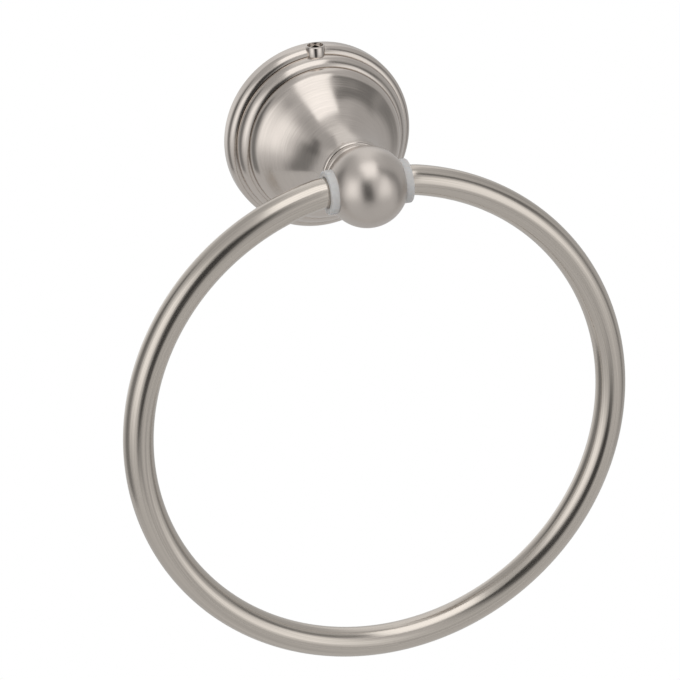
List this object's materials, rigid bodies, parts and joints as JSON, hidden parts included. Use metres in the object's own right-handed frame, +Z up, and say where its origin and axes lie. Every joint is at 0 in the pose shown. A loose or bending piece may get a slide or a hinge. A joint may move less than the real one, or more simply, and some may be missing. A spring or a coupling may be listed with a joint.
{
  "type": "towel ring",
  "caption": "Wall-mounted towel ring: a tube ring swings in nylon bushings in a ball on a stepped bell escutcheon with a hidden wall bracket.",
  "frame": {"origin": "centre of the wall bracket's back face, on the wall", "axes": "+Y into the wall, +Z up, +X to the right as seen from the room; the ring hangs towards -Z"},
  "size_m": [0.165, 0.066, 0.1896],
  "materials": {
    "bracket_zinc": "bare die-cast zinc, dull",
    "escutcheon_nickel": "satin nickel, brushed round its axis",
    "screw_steel": "plain plated steel",
    "ball_nickel": "satin nickel, fine soft brushing",
    "bushing_nylon": "translucent natural nylon",
    "ring_nickel": "satin nickel, brushed along the tube"
  },
  "bodies": {
    "post": {"wall_bracket": "bracket_zinc", "escutcheon": "escutcheon_nickel", "set_screw": "screw_steel", "post_screw": "screw_steel", "spring_washer": "screw_steel", "ball_head": "ball_nickel", "left_bushing": "bushing_nylon", "right_bushing": "bushing_nylon"},
    "ring": {"ring": "ring_nickel"}
  },
  "joints": [
    {"name": "ring_swing", "type": "hinge", "parent": "post", "child": "ring", "pos_m": [0, -0.0532, 0], "axis": [-1, 0, 0], "range_deg": [-18, 198]}
  ]
}
